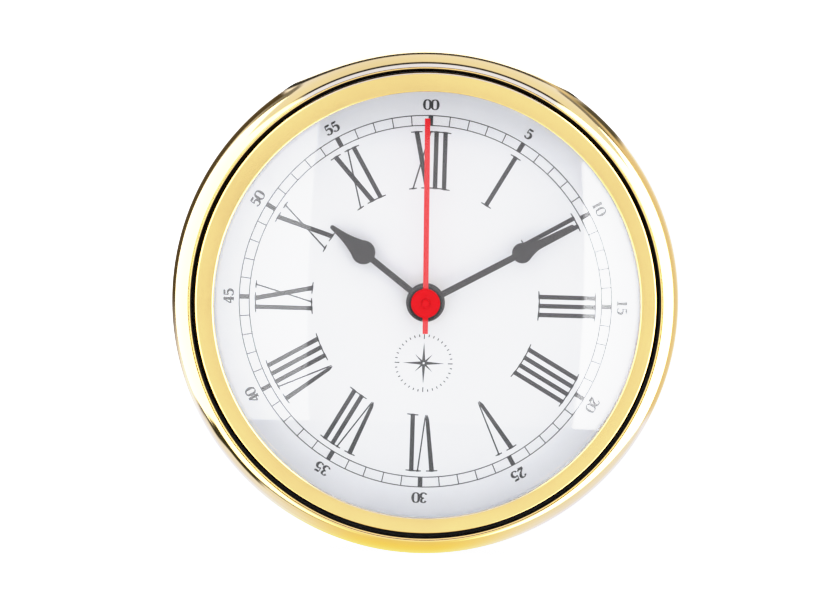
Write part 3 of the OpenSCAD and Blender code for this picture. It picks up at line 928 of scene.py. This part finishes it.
def make_second_hand():
    disc_radius = 3.3
    half = 0.6
    tube_radius = 0.98
    foot = math.asin(half / disc_radius)
    outline = [(half, -6.9)]
    for k in range(33):
        a = math.pi - foot - (math.pi - 2 * foot) * k / 32
        outline.append((disc_radius * math.sin(a), disc_radius * math.cos(a)))
    outline.append((half, 41.75))
    outline += [(-x, y) for x, y in reversed(outline)]
    bore = circle_path(tube_radius, 48)
    blade = plate("second_hand_visual", outline, bore, 28.4, 28.8, HAND_RED, -1.06, 0.06)
    tube = lathe("second_hand_tube", rounded([
        (0.5, 27.95, 0.0),
        (tube_radius, 27.95, 0.1),
        (tube_radius, 30.15, 0.3),
        (0.0, 30.19, 0.0),
        (0.0, 30.03, 0.0),
        (0.5, 30.03, 0.0),
    ], 4), HAND_RED, 64, 30)
    boss = lathe("second_hand_boss", rounded([
        (tube_radius, 28.35, 0.0),
        (disc_radius - 0.1, 28.35, 0.1),
        (disc_radius - 0.1, 28.95, 0.3),
        (tube_radius, 29.02, 0.1),
    ], 4), HAND_RED, 96, 30)
    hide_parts("second_hand")
    for obj in (blade, tube, boss):
        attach(obj, "seconds")


# ---------------------------------------------------------------- carried-over CAD nodes
LOOK_NODES = (
    (FELT, ("felt_ring",)),
    (RUBBER, ("glass_gasket", "grip_ring", "movement_seal")),
    (BLACK_PLASTIC, ("insert_can", "housing", "cover", "setting_knob")),
    (ZINC, ("can_screws", "cover_screws", "dial_washer", "contact_spring", "contact_plate")),
    (STEEL, ("bridge", "stator", "quartz_can", "rotor", "cannon_pinion")),
    (COPPER, ("coil",)),
    (GREEN, ("circuit_board",)),
    (SLEEVE, ("battery",)),
    (PALE_PLASTIC, ("hour_wheel",)),
    (GEAR_BRASS, ("hex_nut", "centre_bush", "intermediate_wheel", "second_wheel", "third_wheel",
                  "centre_wheel", "motion_wheel")),
)


def dress_nodes():
    """Gives every carried-over node its material, and the moulded ones soft edges."""
    for look, names in LOOK_NODES:
        for name in names:
            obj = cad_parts[name]
            for holder in obj.material_slots:
                holder.material = look
            if not obj.material_slots:
                obj.data.materials.append(look)
            if look is BLACK_PLASTIC:
                soften(obj, 0.25, 2)


# ---------------------------------------------------------------- studio
FLOOR_GLOW = 1.16
FLOOR_HALF = 6.0
DEGREES = 180 / math.pi
# The camera: where it stands as seen from the dial, and what it looks at
CAMERA_TURN = -0.3
CAMERA_RISE = 3.5
CAMERA_DISTANCE = 1.0
CAMERA_ROLL = 1.7
CAMERA_LENS = 189.2
AIM = (-1.28, 0.72, 28.8)
# Where rays that graze the case go on behind it, seen from the camera
BEHIND_X = 0.0065
BEHIND_Z = 0.061
DARK = (0.03, 0.03, 0.025)


def make_floor():
    """White paper with a glow of its own, which only cameras and shadows see."""
    z = CAD_BOX[0][2]
    corners = [(-1, -1), (1, -1), (1, 1), (-1, 1)]
    mesh = bpy.data.meshes.new("floor")
    mesh.from_pydata([(x * FLOOR_HALF, y * FLOOR_HALF, z) for x, y in corners], [], [(0, 1, 2, 3)])
    mat, n, shader = material("floor_paper", Base_Color=(0.9, 0.9, 0.905), Roughness=0.9)
    shader.inputs["Emission Color"].default_value = (1.0, 1.0, 1.0, 1.0)
    shader.inputs["Emission Strength"].default_value = FLOOR_GLOW
    shader.inputs["Specular IOR Level"].default_value = 0.0
    bump(n, shader, n.noise(900.0, 2.0), 0.05, 0.0001)
    mesh.materials.append(mat)
    floor = bpy.data.objects.new("floor", mesh)
    SCENE.collection.objects.link(floor)
    floor.visible_glossy = False
    floor.visible_diffuse = False
    floor.visible_transmission = False


class Room(Nodes):
    """The studio that mirrors see, painted patch over patch by direction.

    x is to the right, z up and front towards the viewer.
    """

    def __init__(self, tree):
        super().__init__(tree)
        split = self.add("ShaderNodeSeparateXYZ")
        self.put(split.inputs[0], self.add("ShaderNodeTexCoord").outputs["Generated"])
        self.x, y, self.z = split.outputs
        self.wide = self.math("ABSOLUTE", self.x)
        self.front = self.math("MULTIPLY", y, -1.0)
        self.azimuth = self.math("MULTIPLY", self.math("ARCTAN2", self.x, self.front), DEGREES)
        self.rise = self.math("MULTIPLY", self.math("ARCSINE", self.z), DEGREES)
        self.table = self.step(self.rise, -20.6, -20.2)
        self.floor = self.math("ADD", self.math("ADD", self.z, self.all(self.front, 0.8)), 0.95)
        self.upward = self.step(self.z, 0.02, 0.06)
        self.lean = self.share(self.wide, self.z)
        self.view = (1.25, 1.21, 1.24)

    def all(self, first, *others):
        """Masks multiplied: 1 where every one of them is 1."""
        for other in others:
            first = self.math("MULTIPLY", first, other)
        return first

    def inverse(self, mask):
        return self.math("SUBTRACT", 1.0, mask)

    def until(self, value, start, end):
        """1 before start, 0 after end."""
        return self.inverse(self.step(value, start, end))

    def share(self, a, b):
        return self.math("DIVIDE", a, self.math("MAXIMUM", b, 0.001))

    def offset(self, value, shift):
        return self.math("ADD", value, shift)

    def paint(self, colour, *masks):
        self.view = self.colour(self.all(*masks), self.view, colour)


def paint_front(room):
    """A white panel with the lens in it, darker above, and a softbox on each side."""
    across = room.offset(room.azimuth, -0.3)
    up = room.offset(room.rise, 3.4)
    lens = room.math("SQRT", room.offset(room.all(across, across), room.all(up, up)))
    room.paint((0.03, 0.06, 0.06), room.until(lens, 2.1, 2.6))
    room.paint((0.25, 0.25, 0.26), room.step(room.rise, 18.0, 23.0))
    above_floor = room.step(room.floor, -0.02, 0.02)
    left_foot = room.math("MAXIMUM", room.table, room.until(room.azimuth, -50.0, -45.0))
    right_foot = room.math("MAXIMUM", room.table, room.step(room.azimuth, 45.0, 50.0))
    left = room.math("MINIMUM", above_floor, left_foot)
    right = room.math("MINIMUM", above_floor, right_foot)
    room.paint((3.5, 3.5, 3.55), room.band(room.azimuth, -150.0, -16.5, 0.35), left)
    room.paint((6.0, 6.0, 6.1), room.band(room.azimuth, 23.0, 140.0, 0.35), right)
    room.paint((0.3, 0.24, 0.12), room.band(room.front, 0.5, 0.6, 0.02), room.step(room.wide, 0.35, 0.45))


def paint_overhead(room):
    """The ceiling, pointed where the softboxes cut in, a lit strip and a dark gap between them."""
    belly = room.math("ABSOLUTE", room.math("DIVIDE", room.offset(room.front, 0.38), 0.42))
    belly = room.inverse(room.math("MINIMUM", belly, 1.0))
    rightward = room.step(room.x, -0.05, 0.05)
    reach = room.offset(room.all(belly, room.offset(room.all(rightward, 0.45), 0.55)), 0.68)
    beyond = room.math("SUBTRACT", room.lean, reach)
    inside = room.until(beyond, -0.03, 0.03)
    room.paint((0.98, 1.03, 1.3), room.upward, inside, room.until(room.front, 0.07, 0.11))
    strip = room.band(room.front, 0.1, 0.86, 0.02)
    room.paint((0.95, 1.2, 2.9), strip, room.upward, room.until(room.lean, 0.66, 0.74))
    gap = room.band(room.front, -0.12, 0.14, 0.04)
    room.paint((0.03, 0.03, 0.03), gap, room.upward, room.until(room.lean, 0.62, 0.82))


def paint_backdrop(room):
    """A white backdrop over a dark curved seam, with dark flags and a cream wall beside it."""
    from_middle = room.math("ABSOLUTE", room.math("SUBTRACT", room.x, BEHIND_X))
    tilt = room.share(from_middle, room.offset(room.z, BEHIND_Z))
    curve = room.math("POWER", room.math("DIVIDE", tilt, 0.7), 3.0)
    bend = room.offset(room.offset(room.front, 0.8), room.all(curve, 0.2))
    wedge = room.all(room.until(tilt, 0.68, 0.74), room.step(room.z, -0.06, -0.05))
    room.paint((3.0, 3.0, 3.0), room.until(bend, -0.06, -0.04), wedge)
    room.paint(DARK, room.band(bend, -0.045, 0.035, 0.015), wedge)
    flag = room.band(room.front, -0.99, -0.865, 0.02)
    leftward = room.step(room.all(room.x, -1.0), 0.08, 0.16)
    room.paint((0.09, 0.065, 0.03), flag, room.inverse(wedge), leftward, room.step(room.z, -0.2, -0.05))
    cream = room.band(room.front, -0.96, -0.74, 0.04)
    room.paint((0.86, 0.74, 0.5), cream, room.step(room.x, 0.15, 0.25), room.until(room.z, 0.35, 0.45))
    beside = room.all(room.step(room.x, 0.1, 0.16), room.band(tilt, 0.7, 1.15, 0.1))
    room.paint((0.1, 0.09, 0.06), flag, beside, room.step(room.z, -0.05, -0.03))


def paint_table(room):
    """The table, a dark line and stand where the left softbox meets it, and the glow under the rim."""
    below = room.until(room.floor, -0.02, 0.02)
    room.paint((0.96, 1.05, 1.5), below, room.until(room.front, 0.75, 0.85))
    left = room.step(room.all(room.x, -1.0), 0.2, 0.4)
    line = room.all(room.band(room.floor, -0.07, 0.015, 0.015), left)
    room.paint(DARK, line, room.until(room.front, 0.2, 0.35), room.step(room.front, -0.9, -0.75))
    low_back = room.offset(room.offset(room.z, BEHIND_Z), room.all(room.wide, 0.55))
    room.paint((0.93, 1.0, 1.3), room.until(low_back, -0.02, 0.02), room.until(room.front, -0.8, -0.7))
    stand_x = room.math("ABSOLUTE", room.offset(room.x, 0.69))
    stand_z = room.math("ABSOLUTE", room.offset(room.z, 0.64))
    stand = room.until(room.offset(stand_x, stand_z), 0.17, 0.24)
    room.paint((0.05, 0.05, 0.03), stand, room.until(room.front, -0.3, -0.2))
    sideways = room.share(room.math("ABSOLUTE", room.offset(room.x, 0.03)), room.all(room.z, -1.0))
    under = room.all(room.until(sideways, 0.1, 0.62), room.until(room.front, 0.25, 0.4))
    warm = room.colour(room.step(room.front, 0.2, -0.8), (0.98, 0.9, 0.52), (1.08, 0.94, 0.33))
    room.paint(warm, under, room.until(room.z, -0.25, -0.12))
    room.paint((0.88, 0.88, 0.9), room.inverse(room.table), room.step(room.front, 0.75, 0.85))


def seen_light(room):
    """Mirrors see the painted room, other light is soft and even, and the camera sees white."""
    path = room.add("ShaderNodeLightPath")
    transmitted = path.outputs["Is Transmission Ray"]
    soft = room.colour(room.step(room.z, -0.4, 0.9), (2.1, 2.1, 2.11), (1.56, 1.56, 1.57))
    mirrored = room.all(path.outputs["Is Glossy Ray"], room.inverse(transmitted))
    light = room.colour(mirrored, soft, room.view)
    # Through the glass: white straight on, and a second reflection of the room
    through = room.all(transmitted, room.math("LESS_THAN", path.outputs["Diffuse Depth"], 0.5))
    bounced = room.math("GREATER_THAN", path.outputs["Glossy Depth"], 0.5)
    light = room.colour(room.all(through, bounced), light, room.view)
    direct = room.math("MAXIMUM", path.outputs["Is Camera Ray"], room.all(through, room.inverse(bounced)))
    return room.colour(direct, light, (3.0, 3.0, 3.0))


def make_world():
    world = bpy.data.worlds.new("studio")
    SCENE.world = world
    world.use_nodes = True
    world.node_tree.nodes.clear()
    room = Room(world.node_tree)
    paint_front(room)
    paint_overhead(room)
    paint_backdrop(room)
    paint_table(room)
    background = room.add("ShaderNodeBackground")
    room.put(background.inputs[0], seen_light(room))
    output = room.add("ShaderNodeOutputWorld")
    room.put(output.inputs[0], background.outputs[0])


def soften_highlights():
    """A film-like shoulder, so that bright white paint keeps a little tone."""
    white = 1.8
    view = SCENE.view_settings
    view.view_transform = "Standard"
    view.use_curve_mapping = True
    mapping = view.curve_mapping
    mapping.white_level = (white, white, white)
    for light, tone in ((0.4, 0.4), (0.75, 0.76), (0.9, 0.88), (1.1, 0.94), (1.4, 0.975)):
        mapping.curves[3].points.new(light / white, tone)
    mapping.update()


def make_camera():
    data = bpy.data.cameras.new("camera")
    camera = bpy.data.objects.new("camera", data)
    SCENE.collection.objects.link(camera)
    turn = math.radians(CAMERA_TURN)
    rise = math.radians(CAMERA_RISE)
    level = math.cos(rise)
    direction = Vector((math.sin(turn) * level, -math.cos(turn) * level, math.sin(rise)))
    camera.location = Vector(to_row(*AIM)) + direction * CAMERA_DISTANCE
    facing = (-direction).to_track_quat("-Z", "Y").to_matrix()
    roll = Matrix.Rotation(math.radians(CAMERA_ROLL), 3, "Z")
    camera.rotation_euler = (facing @ roll).to_euler()
    data.sensor_width = 36.0
    data.lens = CAMERA_LENS
    data.clip_start = 0.01
    data.clip_end = 50.0
    SCENE.camera = camera


def make_lamp():
    """One large soft lamp above and in front."""
    data = bpy.data.lights.new("top_soft", "AREA")
    data.shape = "RECTANGLE"
    data.size = 0.7
    data.size_y = 0.7
    data.energy = 1.0
    lamp = bpy.data.objects.new("top_soft", data)
    SCENE.collection.objects.link(lamp)
    place = Vector((-0.25, -0.5, 1.1))
    lamp.location = place
    lamp.rotation_euler = (-place).to_track_quat("-Z", "Y").to_euler()
    lamp.visible_glossy = False
    lamp.visible_camera = False


soften_highlights()
make_camera()
make_case()
make_bezel()
make_glass()
make_rehaut()
make_dial()
make_print()
make_rose()
make_hands()
make_second_hand()
dress_nodes()
make_floor()
make_world()
make_lamp()
